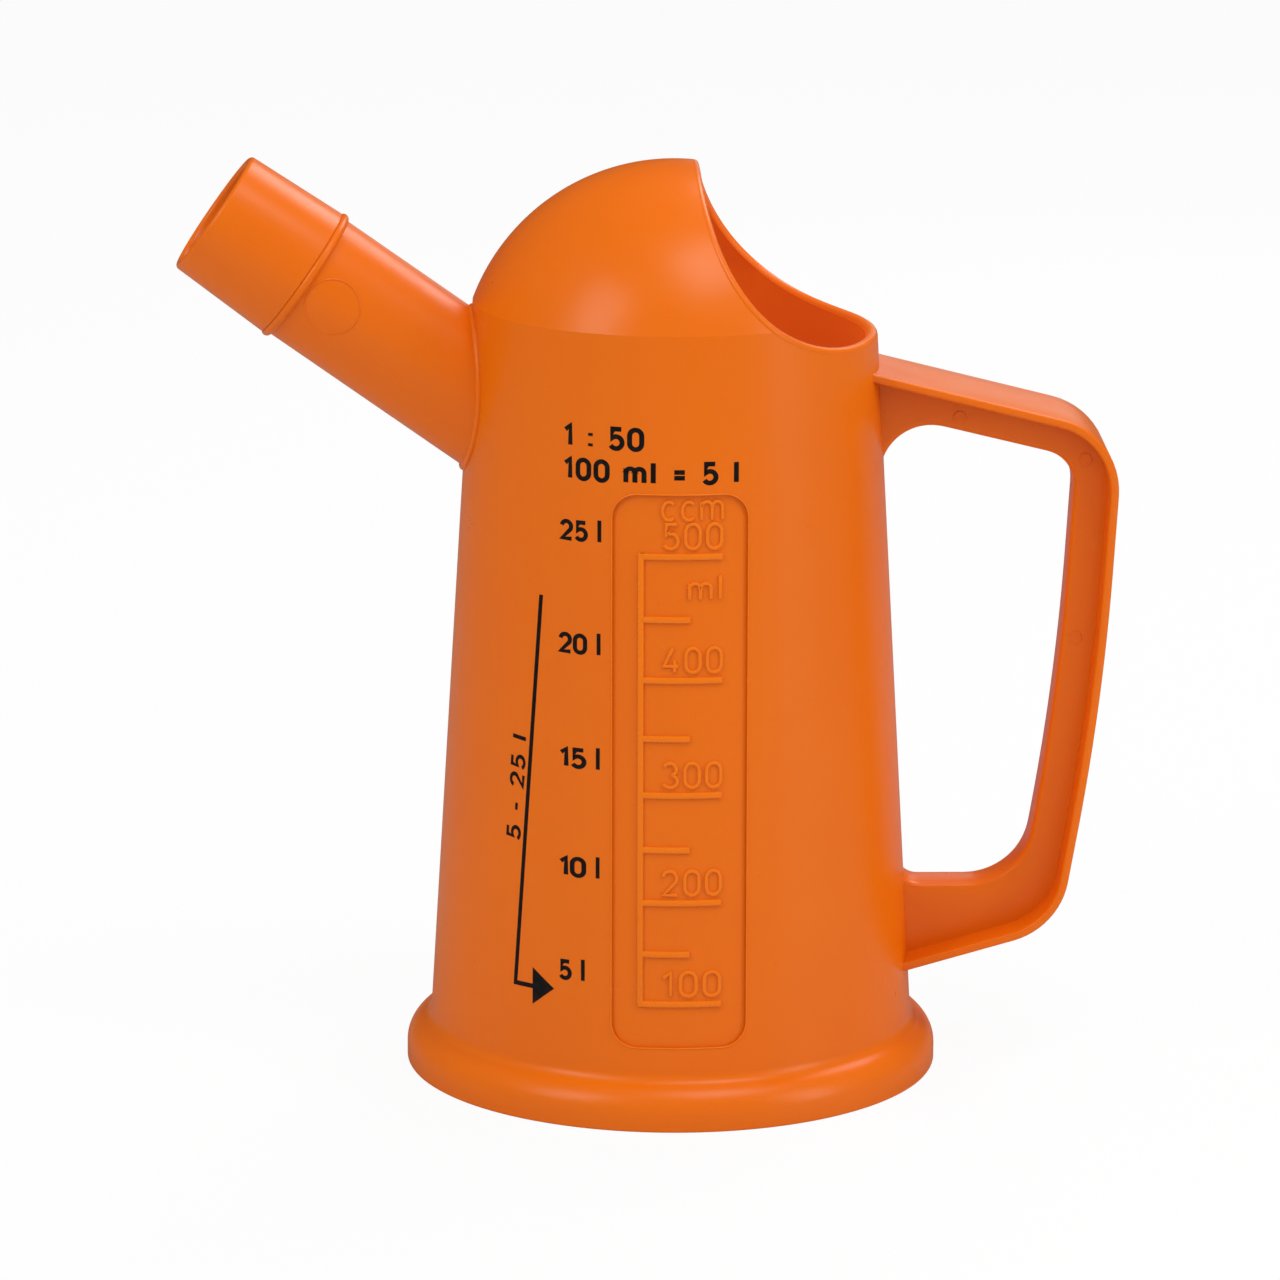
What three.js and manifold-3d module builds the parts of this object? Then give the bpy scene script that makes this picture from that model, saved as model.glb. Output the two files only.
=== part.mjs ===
// Measuring jug for mixing fuel: a conical cup under a domed hood, with a side mouth, a slanted
// pouring spout and a loop handle. Millimetres, +Z up.
// The origin is on the cup's axis, in the plane that the foot stands on. +X points to the
// handle, -X to the spout, and the graduated panel faces -Y.
// The jug is one moulding, open at the bottom, and a flat disc closes it from below.

import * as THREE from 'three';
import { mergeVertices } from 'three/addons/utils/BufferGeometryUtils.js';
import Module from 'manifold-3d';

const wasm = await Module();
wasm.setup();

const degrees = Math.PI / 180;

// Cup
const wall = 2.0;
const coneRadius = 45.25; // outside of the cone, carried down to the standing plane
const shoulderRadius = 36.75; // outside of the cone where the dome starts
const shoulderHeight = 143.4;
const domeRise = 25.4; // from the shoulder to the top of the hood

// Foot
const footFlare = 3.95; // how far the rim stands out from the cone, at the standing plane
const footSide = 3.0; // height of the rim's straight side
const footRound = 5.3; // radius of the rim's rounded top
const footFillet = 2.4; // radius of the hollow between the rim and the cone
const footWall = 2.0; // the rim round the base disc

// Base disc, pushed up into the foot against its shoulder
const baseRecess = 1.2; // from the standing plane to the disc's underside
const baseThickness = 3.6;
const baseClearance = 0.25; // round the disc's edge

// Mouth: a quarter of an ellipse in side view, which runs out level over the handle
const mouthLowest = 138.15;
const mouthHoodEdge = 4.1; // how far from the axis the hood still reaches towards the handle
const mouthWidth = 29.4; // half axis along X
const mouthHeight = 35.0; // half axis along Z

// Spout: distances along it are counted from the cup's axis
const spoutAngle = 35.2 * degrees; // above the horizontal
const spoutAxisHeight = 100.6; // where its axis crosses the cup's axis
const spoutStart = 30;
const spoutBead = 82.2;
const spoutTip = 102.5;
const spoutRadius = 12.4; // between the cup and the bead
const spoutSocketRadius = 12.9; // the outer section tapers from here at the bead
const spoutTipRadius = 12.2;
const spoutBore = 10.4;
const spoutLip = 0.8; // rounding of the tip's edges
const beadHeight = 0.85; // above the section between the cup and the bead
const beadWidth = 1.7;

// Handle: a T section, with the flange outside and the stem towards the fingers
const armTop = 140.5; // height of the arm's upper face, carried to the cup's axis
const armFall = 13.9 * degrees;
const gripTopX = 81.5; // outer corners of the loop
const gripMiddleX = 78.7;
const gripMiddleHeight = 70;
const gripBottomX = 71.5;
const footArmTop = 6.6; // height of the lower arm's underside, carried to the cup's axis
const footArmRise = 16 * degrees;
const handleCorner = 14; // radius of the loop's outer corners
const gripBow = 450; // radius of the grip's bowed back
const handleDepth = 7.6; // through flange and stem, across the loop
const flangeWidth = 23;
const flangeThickness = 1.6;
const stemWidth = 9;
const fingerFloor = 33.9; // height of the finger gap's lower end
const fingerFloorCorner = 12;
const armGusset = 9.3; // radius under the arm, where it meets the cup
const footArmGusset = 4;

// Graduated panel: a shallow recess that keeps the cone's curve
const panelWidth = 24.4;
const panelBottom = 14.4;
const panelTop = 115.2;
const panelCorner = 4.5;
const panelDepth = 0.6;

// Facets
const cupSegments = 48;
const domeSteps = 8;
const spoutSegments = 28;
const arcSteps = 6;
const hollowSteps = 4;
const beadSteps = 6;
const lipSteps = 3;
const mouthSteps = 20;
const mergeDistance = 1e-4;
const past = 1; // how far a cut reaches past the face that it opens

// Derived sizes
const footRadius = coneRadius + footFlare;
const taper = (coneRadius - shoulderRadius) / shoulderHeight;
const lean = Math.hypot(1, taper);
const domeRadius = (shoulderRadius ** 2 + domeRise ** 2) / (2 * domeRise);
const domeCentre = shoulderHeight + domeRise - domeRadius;
const floorHeight = baseRecess + baseThickness;
const coneAt = (z) => coneRadius - taper * z;

// A closed geometry as a solid that can be cut and joined.
function solid(geometry) {
  const points = new THREE.BufferGeometry().setAttribute('position', geometry.getAttribute('position'));
  const merged = mergeVertices(points.setIndex(geometry.index), mergeDistance);
  const corners = merged.index.array;
  const triangles = [];
  for (let i = 0; i < corners.length; i += 3) {
    const [a, b, c] = corners.slice(i, i + 3);
    if (a !== b && b !== c && c !== a) triangles.push(a, b, c);
  }
  const vertProperties = merged.attributes.position.array;
  const triVerts = new Uint32Array(triangles);
  return new wasm.Manifold(new wasm.Mesh({ numProp: 3, vertProperties, triVerts }));
}

function meshOf(name, shape, material) {
  const { vertProperties, triVerts } = shape.getMesh();
  const geometry = new THREE.BufferGeometry();
  geometry.setAttribute('position', new THREE.BufferAttribute(vertProperties, 3));
  geometry.setIndex(new THREE.BufferAttribute(triVerts, 1));
  geometry.computeVertexNormals();
  const mesh = new THREE.Mesh(geometry, material);
  mesh.name = name;
  return mesh;
}

// Points of an arc, from one angle to another.
function arc(x, y, radius, from, to, steps = arcSteps) {
  return Array.from({ length: steps + 1 }, (_, i) => {
    const angle = from + ((to - from) * i) / steps;
    return [x + radius * Math.cos(angle), y + radius * Math.sin(angle)];
  });
}

// A profile of [radius, height] pairs turned about the Z axis.
function turned(profile, segments = cupSegments) {
  const points = profile.map(([radius, height]) => new THREE.Vector2(Math.max(radius, 0), height));
  return new THREE.LatheGeometry(points, segments).rotateX(Math.PI / 2);
}

// An outline in the XZ plane, as thick as asked and centred on Y = 0.
function slab(outline, thickness) {
  const settings = { depth: thickness, bevelEnabled: false, curveSegments: arcSteps };
  const geometry = new THREE.ExtrudeGeometry(outline, settings);
  return geometry.translate(0, 0, -thickness / 2).rotateX(Math.PI / 2);
}

// A closed outline through [x, z, radius] corners, each rounded by its radius.
function rounded(corners) {
  const points = corners.flatMap(([x, z, radius], i) => {
    if (radius === 0) return [[x, z]];
    const corner = new THREE.Vector2(x, z);
    const back = new THREE.Vector2(...corners.at(i - 1)).sub(corner).normalize();
    const ahead = new THREE.Vector2(...corners[(i + 1) % corners.length]).sub(corner).normalize();
    const half = Math.acos(back.dot(ahead)) / 2;
    const start = back.clone().multiplyScalar(radius / Math.tan(half));
    const centre = back.clone().add(ahead).normalize().multiplyScalar(radius / Math.sin(half));
    const from = start.sub(centre).angle();
    const sweep = (Math.PI - 2 * half) * Math.sign(ahead.cross(back));
    return arc(x + centre.x, z + centre.y, radius, from, from + sweep);
  });
  return new THREE.Shape(points.map(([x, z]) => new THREE.Vector2(x, z)));
}

// The same corners moved inwards, for a loop that bulges everywhere.
function inset(corners, distance) {
  return corners.map(([x, z, radius], i) => {
    const corner = new THREE.Vector2(x, z);
    const back = new THREE.Vector2(...corners.at(i - 1)).sub(corner).normalize();
    const ahead = new THREE.Vector2(...corners[(i + 1) % corners.length]).sub(corner).normalize();
    const half = Math.acos(back.dot(ahead)) / 2;
    corner.addScaledVector(back.add(ahead).normalize(), distance / Math.sin(half));
    return [corner.x, corner.y, Math.max(radius - distance, 0)];
  });
}

// The foot's rim in section: a straight side, a round top and a hollow that runs into the cone.
function footProfile() {
  const roundX = footRadius - footRound;
  const reach = footRound + footFillet;
  // The hollow's centre lies at footFillet from the cone and at reach from the round's centre.
  const offset = coneRadius + footFillet * lean - roundX;
  const a = 1 + taper ** 2;
  const b = -2 * (footSide + taper * offset);
  const c = offset ** 2 + footSide ** 2 - reach ** 2;
  const hollowZ = (-b + Math.sqrt(b ** 2 - 4 * a * c)) / (2 * a);
  const hollowX = roundX + offset - taper * hollowZ;
  const meeting = Math.atan2(hollowZ - footSide, hollowX - roundX);
  const round = arc(roundX, footSide, footRound, 0, meeting);
  const start = Math.PI + meeting;
  const hollow = arc(hollowX, hollowZ, footFillet, start, Math.PI + Math.atan(taper), hollowSteps);
  return [...round, ...hollow.slice(1)];
}

// The dome in section, from the shoulder to the axis.
function domeProfile(radius) {
  const from = Math.asin((shoulderHeight - domeCentre) / radius);
  return arc(0, domeCentre, radius, from, Math.PI / 2, domeSteps);
}

// The outside of the cup, filled, with the foot's rim and the dome.
function cupOutside() {
  return solid(turned([[0, 0], [footRadius, 0], ...footProfile(), ...domeProfile(domeRadius)]));
}

// What is hollow inside the cup, down to the floor, and the seat below it for the base disc.
function cupInside() {
  const seatRadius = footRadius - footWall;
  const floor = [coneAt(floorHeight) - wall * lean, floorHeight];
  const seat = [[0, -past], [seatRadius, -past], [seatRadius, floorHeight]];
  return solid(turned([...seat, floor, ...domeProfile(domeRadius - wall)]));
}

// Turns a shape made on the Z axis onto the spout's axis.
function alongSpout(geometry) {
  return solid(geometry.rotateY(spoutAngle - Math.PI / 2).translate(0, 0, spoutAxisHeight));
}

function spoutOutside() {
  const bead = Array.from({ length: beadSteps - 1 }, (_, i) => {
    const angle = (Math.PI * (i + 1)) / beadSteps;
    return [spoutRadius + beadHeight * Math.sin(angle), spoutBead - (beadWidth / 2) * Math.cos(angle)];
  });
  const edge = spoutTip - spoutLip;
  const lip = arc(spoutTipRadius - spoutLip, edge, spoutLip, 0, Math.PI / 2, lipSteps);
  const profile = [
    [0, spoutStart],
    [spoutRadius, spoutStart],
    [spoutRadius, spoutBead - beadWidth / 2],
    ...bead,
    [spoutSocketRadius, spoutBead + beadWidth / 2],
    ...lip,
    [0, spoutTip],
  ];
  return alongSpout(turned(profile, spoutSegments));
}

function spoutInside() {
  const flare = spoutBore + spoutLip;
  const lip = arc(flare, spoutTip - spoutLip, spoutLip, Math.PI, Math.PI / 2, lipSteps);
  const profile = [[0, spoutStart], [spoutBore, spoutStart], ...lip, [flare, spoutTip + past]];
  return alongSpout(turned([...profile, [0, spoutTip + past]], spoutSegments));
}

// The handle's loop, seen from the side, and the finger gap in it. Its left side lies inside
// the cup and goes when the cup is hollowed.
function handleOutside() {
  const hidden = shoulderRadius / 2;
  const armAt = (x) => armTop - x * Math.tan(armFall);
  const footArmAt = (x) => footArmTop + x * Math.tan(footArmRise);
  const loop = [
    [hidden, footArmAt(hidden), 0],
    [gripBottomX, footArmAt(gripBottomX), handleCorner],
    [gripMiddleX, gripMiddleHeight, gripBow],
    [gripTopX, armAt(gripTopX), handleCorner],
    [hidden, armAt(hidden), 0],
  ];
  const [, low, middle, armEnd, armStart] = inset(loop, handleDepth);
  const gripSlope = (middle[0] - low[0]) / (middle[1] - low[1]);
  const cupSide = (z) => coneAt(z) - wall / 2;
  const armSide = armStart[1] + (armStart[0] - coneRadius) * Math.tan(armFall);
  const armMeet = armSide / (1 - taper * Math.tan(armFall));
  const gap = [
    [cupSide(fingerFloor), fingerFloor, footArmGusset],
    [low[0] + (fingerFloor - low[1]) * gripSlope, fingerFloor, fingerFloorCorner],
    middle,
    armEnd,
    [cupSide(armMeet), armMeet, armGusset],
  ];
  const stem = rounded(loop);
  stem.holes.push(rounded(gap));
  const flange = rounded(loop);
  flange.holes.push(rounded(inset(loop, flangeThickness)));
  return solid(slab(stem, stemWidth)).add(solid(slab(flange, flangeWidth)));
}

// Everything above the mouth's rim line, on the handle's side of the hood's edge.
function mouthCut() {
  const centreX = mouthHoodEdge + mouthWidth;
  const centreZ = mouthLowest + mouthHeight;
  const above = shoulderHeight + domeRise + wall;
  const beyond = footRadius;
  const outline = new THREE.Shape();
  outline.moveTo(beyond, mouthLowest);
  outline.lineTo(beyond, above + mouthHeight);
  outline.lineTo(mouthHoodEdge, above + mouthHeight);
  outline.lineTo(mouthHoodEdge, centreZ);
  outline.absellipse(centreX, centreZ, mouthWidth, mouthHeight, Math.PI, Math.PI * 1.5, false);
  outline.closePath();
  const settings = { depth: 4 * shoulderRadius, bevelEnabled: false, curveSegments: mouthSteps };
  const geometry = new THREE.ExtrudeGeometry(outline, settings);
  return solid(geometry.translate(0, 0, -2 * shoulderRadius).rotateX(Math.PI / 2));
}

// What the panel leaves of the cup below its skin.
function coreBelow(depth) {
  const foot = [[0, 0], [coneRadius - depth, 0]];
  const shoulder = [[shoulderRadius - depth, shoulderHeight], [0, shoulderHeight]];
  return solid(turned([...foot, ...shoulder]));
}

function panelCut() {
  const half = panelWidth / 2;
  const corners = [
    [-half, panelBottom, panelCorner],
    [half, panelBottom, panelCorner],
    [half, panelTop, panelCorner],
    [-half, panelTop, panelCorner],
  ];
  const front = slab(rounded(corners), 2 * footRadius).translate(0, -footRadius, 0);
  return solid(front).subtract(coreBelow(panelDepth));
}

function jug() {
  return cupOutside()
    .add(spoutOutside())
    .add(handleOutside())
    .subtract(cupInside())
    .subtract(spoutInside())
    .subtract(mouthCut())
    .subtract(panelCut());
}

function baseDisc() {
  const radius = footRadius - footWall - baseClearance;
  return solid(turned([[0, baseRecess], [radius, baseRecess], [radius, floorHeight], [0, floorHeight]]));
}

const orange = new THREE.MeshStandardMaterial({ color: 0xee7316, roughness: 0.42, metalness: 0 });
const baseOrange = new THREE.MeshStandardMaterial({ color: 0xe86c12, roughness: 0.48, metalness: 0 });

const measuringJug = new THREE.Group();
measuringJug.name = 'measuring_jug';
measuringJug.add(meshOf('jug_body', jug(), orange));
measuringJug.add(meshOf('base_disc', baseDisc(), baseOrange));

export default measuringJug;
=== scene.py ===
"""Studio scene of an orange measuring jug for mixing fuel.

The model stands on z = 0 with the cup's axis on Z, its spout towards -X, its handle towards +X
and its graduated panel towards -Y. Shapes are worked out in millimetres and stored in metres.
"""

import math

import bmesh
import bpy
from mathutils import Matrix, Vector


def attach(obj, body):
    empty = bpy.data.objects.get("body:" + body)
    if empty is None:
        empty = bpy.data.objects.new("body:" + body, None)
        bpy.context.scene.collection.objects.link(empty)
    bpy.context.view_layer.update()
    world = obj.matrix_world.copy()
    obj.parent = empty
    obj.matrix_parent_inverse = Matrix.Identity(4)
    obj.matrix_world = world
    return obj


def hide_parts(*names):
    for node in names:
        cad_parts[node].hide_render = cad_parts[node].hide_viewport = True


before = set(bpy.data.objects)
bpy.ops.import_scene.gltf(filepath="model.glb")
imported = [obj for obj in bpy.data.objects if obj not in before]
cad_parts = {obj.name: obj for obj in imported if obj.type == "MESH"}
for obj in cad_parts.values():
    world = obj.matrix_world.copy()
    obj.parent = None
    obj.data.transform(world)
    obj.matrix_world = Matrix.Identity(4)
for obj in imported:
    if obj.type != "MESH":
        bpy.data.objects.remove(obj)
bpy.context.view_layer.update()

MM = 0.001
TAU = 2 * math.pi
TOUCH = 1e-4

# Cup, foot and hood
WALL = 2.0
CONE_RADIUS = 45.25
SHOULDER_RADIUS = 36.75
SHOULDER = 143.4
DOME_RISE = 25.4
FOOT_RADIUS = 49.2
FOOT_SIDE = 3.0
FOOT_ROUND = 5.3
FOOT_FILLET = 2.4
FOOT_WALL = 2.0
SOLE_ROUND = 0.4
BASE_RECESS = 1.2
BASE_THICKNESS = 3.6
BASE_CLEARANCE = 0.25
BASE_EDGE = 0.35
TAPER = (CONE_RADIUS - SHOULDER_RADIUS) / SHOULDER
LEAN = math.hypot(1, TAPER)
DOME_RADIUS = (SHOULDER_RADIUS**2 + DOME_RISE**2) / (2 * DOME_RISE)
DOME_CENTRE = SHOULDER + DOME_RISE - DOME_RADIUS
FLOOR = BASE_RECESS + BASE_THICKNESS

# Mouth
MOUTH_LOWEST = 138.15
MOUTH_EDGE = 4.1
MOUTH_WIDTH = 29.4
MOUTH_HEIGHT = 35.0
LIP = WALL / 2

# Spout
SPOUT_ANGLE = math.radians(35.2)
SPOUT_HEIGHT = 100.6
SPOUT_START = 30
SPOUT_BEAD = 82.2
SPOUT_TIP = 102.5
SPOUT_RADIUS = 12.4
SPOUT_SOCKET = 12.9
SPOUT_TIP_RADIUS = 12.2
SPOUT_BORE = 10.4
SPOUT_LIP = 0.8
BEAD_HEIGHT = 0.85
BEAD_WIDTH = 1.7
SEAM_RADIUS = 0.75

# Handle
ARM_TOP = 140.5
ARM_FALL = math.radians(13.9)
GRIP_TOP_X = 81.5
GRIP_MIDDLE = (78.7, 70)
GRIP_BOTTOM_X = 71.5
FOOT_ARM_TOP = 6.6
FOOT_ARM_RISE = math.radians(16)
HANDLE_CORNER = 14
GRIP_BOW = 450
HANDLE_DEPTH = 7.6
FLANGE_WIDTH = 23
FLANGE_THICKNESS = 1.6
FLANGE_ROUND = 0.55
STEM_WIDTH = 9
STEM_ROUND = 1.1
FINGER_FLOOR = 33.9
FINGER_FLOOR_CORNER = 12
ARM_GUSSET = 9.3
FOOT_ARM_GUSSET = 4

# Marks left by the mould
RIDGE_HEIGHT = 0.1
RIDGE_SINK = 0.3
RIDGE_WIDTH = 0.4
RIDGE_CLEARANCE = 0.2
MARK_PLACE = 75.9
MARK_RADIUS = 5.0
MARK_LINE = 0.14
PIN_MARKS = [(52.1, 122.2), (75.2, 114.3), (74.0, 80.9)]
PIN_RADIUS = 1.3
PIN_TOP_RADIUS = 1.15
PIN_DEPTH = 0.5
PIN_SINK = 0.1

# Graduated panel
PANEL_WIDTH = 24.4
PANEL_BOTTOM = 14.4
PANEL_TOP = 115.2
PANEL_CORNER = 4.5
PANEL_DEPTH = 0.6
RIM_RADIUS = 0.13
RIM_STEP = 1.2
RIB_HEIGHT = 0.5
RIB_WIDTH = 1.1
RIB_ROUND = 0.2
RIB_SINK = 0.1
SCALE_STEM = -7.1
LONG_MARK = 7.7
SHORT_MARK = 1.9
SCALE_STEP = 50e3
LONG_STEP = 100e3

# Raised figures: text, height, stroke, left and right edge, and bottom
FIGURE_DEPTH = 0.42
FIGURE_ROUND = 0.14
FIGURE_SINK = 0.05
FIGURE_SPACING = 0.3
FIGURE_LIFT = 1.5
VOLUME_FIGURE = (4.4, 0.62, -3.0, 7.8)
UNIT_FIGURES = [("ml", 4.0, 0.6, 1.7, 7.6, 96.3), ("ccm", 4.6, 0.6, -3.3, 7.9, 110.6)]

# Printed scale: litres, bottom, left and right edge
INK_DEPTH = 0.05
INK_SINK = 0.02
LITRES = [
    (25, 106.1, -22.2, -16.9),
    (20, 85.7, -22.4, -17.0),
    (15, 64.9, -22.3, -17.1),
    (10, 45.0, -22.3, -17.1),
    (5, 25.9, -22.2, -19.9),
]
# Printed lines over the panel: text, height, stroke, left and right edge, and bottom
HEADING = [
    ("1 : 50", 3.5, 0.84, -21.6, -6.5, 123.2),
    ("100 ml = 5 l", 3.4, 0.82, -21.6, 10.5, 117.3),
]
HEADING_SPACING = 0.36
ARROW_TOP = (-26.6, 95.4)
ARROW_CORNER = (-32.1, 23.5)
ARROW_END = (-28.1, 23.6)
ARROW_HEAD = [(-28.1, 20.3), (-23.5, 23.8), (-28.1, 27.1)]
ARROW_HALF_WIDTH = 0.42
RANGE_TEXT = ("5 - 25 l", 3.0, 0.6)
RANGE_SPACING = 0.34
RANGE_LENGTH = 19.0
RANGE_PLACE = (-31.4, 0, 50.0)
RANGE_TURN = math.radians(-85.6)

# Facets
CUP_STEPS = 240
CONE_ROWS = 24
DOME_STEPS = 40
DISC_STEPS = 180
SPOUT_STEPS = 144
ARC_STEPS = 12
SOLE_STEPS = 4
HOLLOW_STEPS = 8
BEAD_STEPS = 10
SPOUT_LIP_STEPS = 6
GAP_STEPS = 16
RIDGE_STEPS = 24
MOUTH_STEPS = 72
LIP_STEPS = 400
LIP_RINGS = 90
SEAM_STEPS = 120
MARK_STEPS = 64
ARROW_STEPS = 40


def cone_at(z):
    """Outer radius of the cone at a height."""
    return CONE_RADIUS - TAPER * z


def level_of(volume):
    """Height at which the cup holds a volume in cubic millimetres."""
    bottom = cone_at(FLOOR) - WALL * LEAN
    radius = (bottom**3 - 3 * TAPER * volume / math.pi) ** (1 / 3)
    return FLOOR + (bottom - radius) / TAPER


def arc(x, y, radius, start, end, steps=ARC_STEPS):
    """Points of an arc from one angle to another."""
    angles = [start + (end - start) * i / steps for i in range(steps + 1)]
    return [(x + radius * math.cos(a), y + radius * math.sin(a)) for a in angles]


def directions(corners, i):
    """A corner, unit vectors from it to its two neighbours, and half the angle between them."""
    here = Vector(corners[i][:2])
    back = (Vector(corners[i - 1][:2]) - here).normalized()
    ahead = (Vector(corners[(i + 1) % len(corners)][:2]) - here).normalized()
    return here, back, ahead, math.acos(back.dot(ahead)) / 2


def rounded(corners, steps=ARC_STEPS):
    """Points of a counterclockwise outline through (x, z, radius) corners, each rounded."""
    points = []
    for i, (x, z, radius) in enumerate(corners):
        if radius == 0:
            points.append((x, z))
            continue
        here, back, ahead, half = directions(corners, i)
        start = here + back * (radius / math.tan(half))
        centre = here + (back + ahead).normalized() * (radius / math.sin(half))
        spoke = start - centre
        angle = math.atan2(spoke.y, spoke.x)
        turn = math.copysign(math.pi - 2 * half, ahead.x * back.y - ahead.y * back.x)
        points += arc(centre.x, centre.y, radius, angle, angle + turn, steps)
    return points


def inset(corners, distance):
    """The same corners moved inwards."""
    moved = []
    for i, (_, _, radius) in enumerate(corners):
        here, back, ahead, half = directions(corners, i)
        here = here + (back + ahead).normalized() * (distance / math.sin(half))
        moved.append((here.x, here.y, max(radius - distance, 0)))
    return moved


def finished(name, bm):
    """The bmesh as an object of the scene, in metres."""
    bmesh.ops.recalc_face_normals(bm, faces=bm.faces)
    bmesh.ops.scale(bm, vec=(MM, MM, MM), verts=bm.verts)
    mesh = bpy.data.meshes.new(name)
    bm.to_mesh(mesh)
    bm.free()
    obj = bpy.data.objects.new(name, mesh)
    bpy.context.scene.collection.objects.link(obj)
    return obj


def smooth(obj, degrees=28):
    """Smooth shading that keeps edges sharper than an angle."""
    for polygon in obj.data.polygons:
        polygon.use_smooth = True
    obj.data.set_sharp_from_angle(angle=math.radians(degrees))
    return obj


def spun(profile, steps=CUP_STEPS):
    """A bmesh of (radius, height) points turned about Z."""
    bm = bmesh.new()
    verts = [bm.verts.new((radius, 0, height)) for radius, height in profile]
    edges = [bm.edges.new(pair) for pair in zip(verts, verts[1:])]
    bmesh.ops.spin(
        bm,
        geom=verts + edges,
        cent=(0, 0, 0),
        axis=(0, 0, 1),
        angle=TAU,
        steps=steps,
        use_merge=True,
    )
    bmesh.ops.remove_doubles(bm, verts=bm.verts, dist=TOUCH / 10)
    return bm


def grow(bm, faces, depth):
    """Extrudes flat faces along Y."""
    grown = bmesh.ops.extrude_face_region(bm, geom=faces)["geom"]
    verts = [v for v in grown if isinstance(v, bmesh.types.BMVert)]
    bmesh.ops.translate(bm, verts=verts, vec=(0, depth, 0))


def prism(points, width, middle=0):
    """A bmesh of an outline in XZ, extruded along Y to both sides of its middle."""
    bm = bmesh.new()
    face = bm.faces.new([bm.verts.new((x, middle - width / 2, z)) for x, z in points])
    grow(bm, [face], width)
    return bm


def round_edges(bm, edges, offset, segments):
    """Bevels edges of a bmesh to a round section."""
    bmesh.ops.bevel(
        bm,
        geom=edges,
        offset=offset,
        segments=segments,
        profile=0.5,
        affect="EDGES",
        material=-1,
    )


def resampled(path, count):
    """Points at even distances along a path."""
    lengths = [0.0]
    for a, b in zip(path, path[1:]):
        lengths.append(lengths[-1] + (b - a).length)
    points = []
    for i in range(count + 1):
        target = lengths[-1] * i / count
        k = max(j for j in range(len(path) - 1) if lengths[j] <= target + 1e-9)
        share = (target - lengths[k]) / max(lengths[k + 1] - lengths[k], 1e-9)
        points.append(path[k].lerp(path[k + 1], min(share, 1)))
    return points


def swept(loop, radius, sides=16):
    """A bmesh of a tube along a closed loop of points."""
    bm = bmesh.new()
    rings = []
    count = len(loop)
    for i, point in enumerate(loop):
        along = (loop[(i + 1) % count] - loop[i - 1]).normalized()
        outward = Vector((point.x, point.y, 0)).normalized()
        across = along.cross(outward).normalized()
        outward = across.cross(along)
        ring = []
        for k in range(sides):
            angle = TAU * k / sides
            spoke = outward * math.cos(angle) + across * math.sin(angle)
            ring.append(bm.verts.new(point + spoke * radius))
        rings.append(ring)
    for i in range(count):
        here, there = rings[i], rings[(i + 1) % count]
        for k in range(sides):
            j = (k + 1) % sides
            bm.faces.new((here[k], here[j], there[j], there[k]))
    return bm


def merge(parts):
    """Several bmeshes as one."""
    whole = bmesh.new()
    for part in parts:
        mesh = bpy.data.meshes.new("part")
        part.to_mesh(mesh)
        part.free()
        whole.from_mesh(mesh)
        bpy.data.meshes.remove(mesh)
    return whole


def combine(obj, operation, tool):
    """Joins obj with a tool or cuts the tool out of it. The tool is used up."""
    modifier = obj.modifiers.new(operation, "BOOLEAN")
    modifier.operation = operation
    modifier.solver = "MANIFOLD"
    modifier.object = tool
    evaluated = obj.evaluated_get(bpy.context.evaluated_depsgraph_get())
    mesh = bpy.data.meshes.new_from_object(evaluated)
    obj.modifiers.clear()
    obj.data = mesh
    bpy.data.objects.remove(tool, do_unlink=True)
    return obj


# Camera, as fitted to the photograph

CAMERA_AT = Vector((-39.4, -1160.6, 360.5)) * MM
CAMERA_YAW = 0.02876
CAMERA_PITCH = 0.23746
CAMERA_ROLL = 0.00399
CAMERA_LENS = 182.13
CAMERA_SENSOR = 36


def make_camera():
    level = math.cos(CAMERA_PITCH)
    ahead = Vector(
        (math.sin(CAMERA_YAW) * level, math.cos(CAMERA_YAW) * level, -math.sin(CAMERA_PITCH))
    )
    right = Vector((math.cos(CAMERA_YAW), -math.sin(CAMERA_YAW), 0))
    upright = Matrix((right, right.cross(ahead), -ahead)).transposed()
    turn = upright @ Matrix.Rotation(CAMERA_ROLL, 3, "Z")
    data = bpy.data.cameras.new("camera")
    data.lens = CAMERA_LENS
    data.sensor_width = CAMERA_SENSOR
    data.sensor_fit = "HORIZONTAL"
    data.clip_start = 0.05
    data.clip_end = 20
    camera = bpy.data.objects.new("camera", data)
    camera.matrix_world = Matrix.Translation(CAMERA_AT) @ turn.to_4x4()
    bpy.context.scene.collection.objects.link(camera)
    bpy.context.scene.camera = camera


make_camera()


# Materials

# Painted glow: the emission colour that stands in for light let through the wall, inside the cup
# and hood.
PAINTED_WALL_GLOW = (0.17, 0.036, 0.005, 1)
GLOW_LOW = 0.02
GLOW_HIGH = 0.13
INK_BLACK = (0.004, 0.004, 0.004, 1)
INK_WORN = (0.012, 0.008, 0.006, 1)
FLOOR_PALE = (0.8, 0.8, 0.8, 1)
FLOOR_PALER = (0.82, 0.82, 0.82, 1)
FLOOR_MIRRORED = (0.28, 0.28, 0.28, 1)
FLOOR_SHOWN_WHITE = 0.93
STUDIO_GREY = (0.55, 0.55, 0.55, 1)
STUDIO_MIRRORED = (0.05, 0.05, 0.05, 1)
BLACK = (0, 0, 0, 1)
WHITE = (1, 1, 1, 1)


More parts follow.
